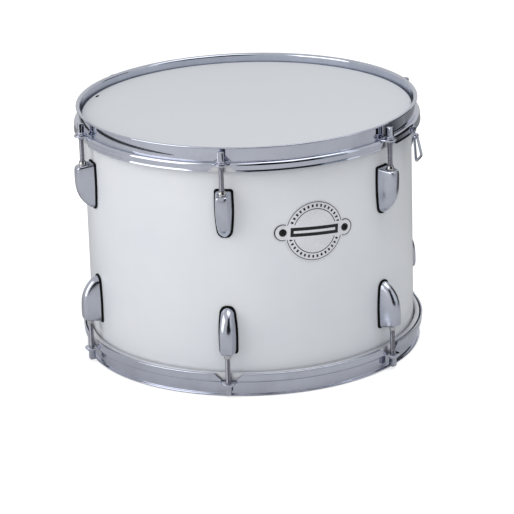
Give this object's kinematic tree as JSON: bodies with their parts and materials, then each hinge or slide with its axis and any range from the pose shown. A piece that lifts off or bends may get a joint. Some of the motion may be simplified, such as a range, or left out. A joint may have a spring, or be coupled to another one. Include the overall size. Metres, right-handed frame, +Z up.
{
  "type": "tenor drum",
  "caption": "Marching tenor drum: cylindrical shell, a head and a flanged metal hoop at each end, tension rods into lug casings, and two sling rings.",
  "frame": {"origin": "middle of the circle of the lower rim, on which the drum stands", "axes": "+Z up along the drum's axis, -Y towards the badge, +X to the right of it"},
  "size_m": [0.3964, 0.3736, 0.2732],
  "materials": {
    "shell_wrap": "ply shell under a glossy white plastic wrap",
    "film": "white coated polyester film",
    "aluminium": "plain rolled channel",
    "chrome": "bright chrome plate",
    "rod_steel": "plated steel, threaded",
    "nut_brass": "nickel plated brass",
    "gasket": "matt black",
    "badge_foil": "satin plate with printed rings"
  },
  "bodies": {
    "drum": {"shell": "shell_wrap", "batter_head": "film", "batter_flesh_hoop": "aluminium", "resonant_head": "film", "resonant_flesh_hoop": "aluminium", "top_swivel_nut_1": "nut_brass", "top_lug_casing_1": "chrome", "top_lug_gasket_1": "gasket", "top_swivel_nut_2": "nut_brass", "top_lug_casing_2": "chrome", "top_lug_gasket_2": "gasket", "top_swivel_nut_3": "nut_brass", "top_lug_casing_3": "chrome", "top_lug_gasket_3": "gasket", "top_swivel_nut_4": "nut_brass", "top_lug_casing_4": "chrome", "top_lug_gasket_4": "gasket", "top_swivel_nut_5": "nut_brass", "top_lug_casing_5": "chrome", "top_lug_gasket_5": "gasket", "top_swivel_nut_6": "nut_brass", "top_lug_casing_6": "chrome", "top_lug_gasket_6": "gasket", "bottom_swivel_nut_1": "nut_brass", "bottom_lug_casing_1": "chrome", "bottom_lug_gasket_1": "gasket", "bottom_swivel_nut_2": "nut_brass", "bottom_lug_casing_2": "chrome", "bottom_lug_gasket_2": "gasket", "bottom_swivel_nut_3": "nut_brass", "bottom_lug_casing_3": "chrome", "bottom_lug_gasket_3": "gasket", "bottom_swivel_nut_4": "nut_brass", "bottom_lug_casing_4": "chrome", "bottom_lug_gasket_4": "gasket", "bottom_swivel_nut_5": "nut_brass", "bottom_lug_casing_5": "chrome", "bottom_lug_gasket_5": "gasket", "bottom_swivel_nut_6": "nut_brass", "bottom_lug_casing_6": "chrome", "bottom_lug_gasket_6": "gasket", "badge": "badge_foil"},
    "top_hoop_set": {"top_hoop": "chrome", "sling_bracket_1": "chrome", "sling_bracket_2": "chrome"},
    "bottom_hoop_set": {"bottom_hoop": "chrome"},
    "top_rod_1": {"top_tension_rod_1": "rod_steel"},
    "top_rod_2": {"top_tension_rod_2": "rod_steel"},
    "top_rod_3": {"top_tension_rod_3": "rod_steel"},
    "top_rod_4": {"top_tension_rod_4": "rod_steel"},
    "top_rod_5": {"top_tension_rod_5": "rod_steel"},
    "top_rod_6": {"top_tension_rod_6": "rod_steel"},
    "bottom_rod_1": {"bottom_tension_rod_1": "rod_steel"},
    "bottom_rod_2": {"bottom_tension_rod_2": "rod_steel"},
    "bottom_rod_3": {"bottom_tension_rod_3": "rod_steel"},
    "bottom_rod_4": {"bottom_tension_rod_4": "rod_steel"},
    "bottom_rod_5": {"bottom_tension_rod_5": "rod_steel"},
    "bottom_rod_6": {"bottom_tension_rod_6": "rod_steel"},
    "ring_1": {"sling_ring_1": "chrome"},
    "ring_2": {"sling_ring_2": "chrome"}
  },
  "joints": [
    {"name": "top_hoop_slide", "type": "slide", "parent": "drum", "child": "top_hoop_set", "axis": [0, 0, 1], "range_m": [0, 0.006]},
    {"name": "bottom_hoop_slide", "type": "slide", "parent": "drum", "child": "bottom_hoop_set", "axis": [0, 0, -1], "range_m": [0, 0.006]},
    {"name": "top_rod_1_turn", "type": "hinge", "parent": "top_hoop_set", "child": "top_rod_1", "pos_m": [0.09475, -0.16411, 0.2577], "axis": [0, 0, 1], "range_deg": [0, 2050]},
    {"name": "top_rod_2_turn", "type": "hinge", "parent": "top_hoop_set", "child": "top_rod_2", "pos_m": [0.1895, 0, 0.2577], "axis": [0, 0, 1], "range_deg": [0, 2050]},
    {"name": "top_rod_3_turn", "type": "hinge", "parent": "top_hoop_set", "child": "top_rod_3", "pos_m": [0.09475, 0.16411, 0.2577], "axis": [0, 0, 1], "range_deg": [0, 2050]},
    {"name": "top_rod_4_turn", "type": "hinge", "parent": "top_hoop_set", "child": "top_rod_4", "pos_m": [-0.09475, 0.16411, 0.2577], "axis": [0, 0, 1], "range_deg": [0, 2050]},
    {"name": "top_rod_5_turn", "type": "hinge", "parent": "top_hoop_set", "child": "top_rod_5", "pos_m": [-0.1895, 0, 0.2577], "axis": [0, 0, 1], "range_deg": [0, 2050]},
    {"name": "top_rod_6_turn", "type": "hinge", "parent": "top_hoop_set", "child": "top_rod_6", "pos_m": [-0.09475, -0.16411, 0.2577], "axis": [0, 0, 1], "range_deg": [0, 2050]},
    {"name": "bottom_rod_1_turn", "type": "hinge", "parent": "bottom_hoop_set", "child": "bottom_rod_1", "pos_m": [0.09475, -0.16411, 0.0155], "axis": [0, 0, -1], "range_deg": [0, 2050]},
    {"name": "bottom_rod_2_turn", "type": "hinge", "parent": "bottom_hoop_set", "child": "bottom_rod_2", "pos_m": [0.1895, 0, 0.0155], "axis": [0, 0, -1], "range_deg": [0, 2050]},
    {"name": "bottom_rod_3_turn", "type": "hinge", "parent": "bottom_hoop_set", "child": "bottom_rod_3", "pos_m": [0.09475, 0.16411, 0.0155], "axis": [0, 0, -1], "range_deg": [0, 2050]},
    {"name": "bottom_rod_4_turn", "type": "hinge", "parent": "bottom_hoop_set", "child": "bottom_rod_4", "pos_m": [-0.09475, 0.16411, 0.0155], "axis": [0, 0, -1], "range_deg": [0, 2050]},
    {"name": "bottom_rod_5_turn", "type": "hinge", "parent": "bottom_hoop_set", "child": "bottom_rod_5", "pos_m": [-0.1895, 0, 0.0155], "axis": [0, 0, -1], "range_deg": [0, 2050]},
    {"name": "bottom_rod_6_turn", "type": "hinge", "parent": "bottom_hoop_set", "child": "bottom_rod_6", "pos_m": [-0.09475, -0.16411, 0.0155], "axis": [0, 0, -1], "range_deg": [0, 2050]},
    {"name": "sling_ring_1_swing", "type": "hinge", "parent": "top_hoop_set", "child": "ring_1", "pos_m": [0.14149, -0.1274, 0.2442], "axis": [-0.6691, -0.7431, 0], "range_deg": [-28, 142]},
    {"name": "sling_ring_2_swing", "type": "hinge", "parent": "top_hoop_set", "child": "ring_2", "pos_m": [0.14149, 0.1274, 0.2442], "axis": [0.6691, -0.7431, 0], "range_deg": [-28, 142]}
  ],
  "couplings": [
    {"joint": "top_rod_1_turn", "follows": "top_hoop_slide", "rad_per_m": 5937.1},
    {"joint": "top_rod_2_turn", "follows": "top_hoop_slide", "rad_per_m": 5937.1},
    {"joint": "top_rod_3_turn", "follows": "top_hoop_slide", "rad_per_m": 5937.1},
    {"joint": "top_rod_4_turn", "follows": "top_hoop_slide", "rad_per_m": 5937.1},
    {"joint": "top_rod_5_turn", "follows": "top_hoop_slide", "rad_per_m": 5937.1},
    {"joint": "top_rod_6_turn", "follows": "top_hoop_slide", "rad_per_m": 5937.1},
    {"joint": "bottom_rod_1_turn", "follows": "bottom_hoop_slide", "rad_per_m": 5937.1},
    {"joint": "bottom_rod_2_turn", "follows": "bottom_hoop_slide", "rad_per_m": 5937.1},
    {"joint": "bottom_rod_3_turn", "follows": "bottom_hoop_slide", "rad_per_m": 5937.1},
    {"joint": "bottom_rod_4_turn", "follows": "bottom_hoop_slide", "rad_per_m": 5937.1},
    {"joint": "bottom_rod_5_turn", "follows": "bottom_hoop_slide", "rad_per_m": 5937.1},
    {"joint": "bottom_rod_6_turn", "follows": "bottom_hoop_slide", "rad_per_m": 5937.1}
  ]
}
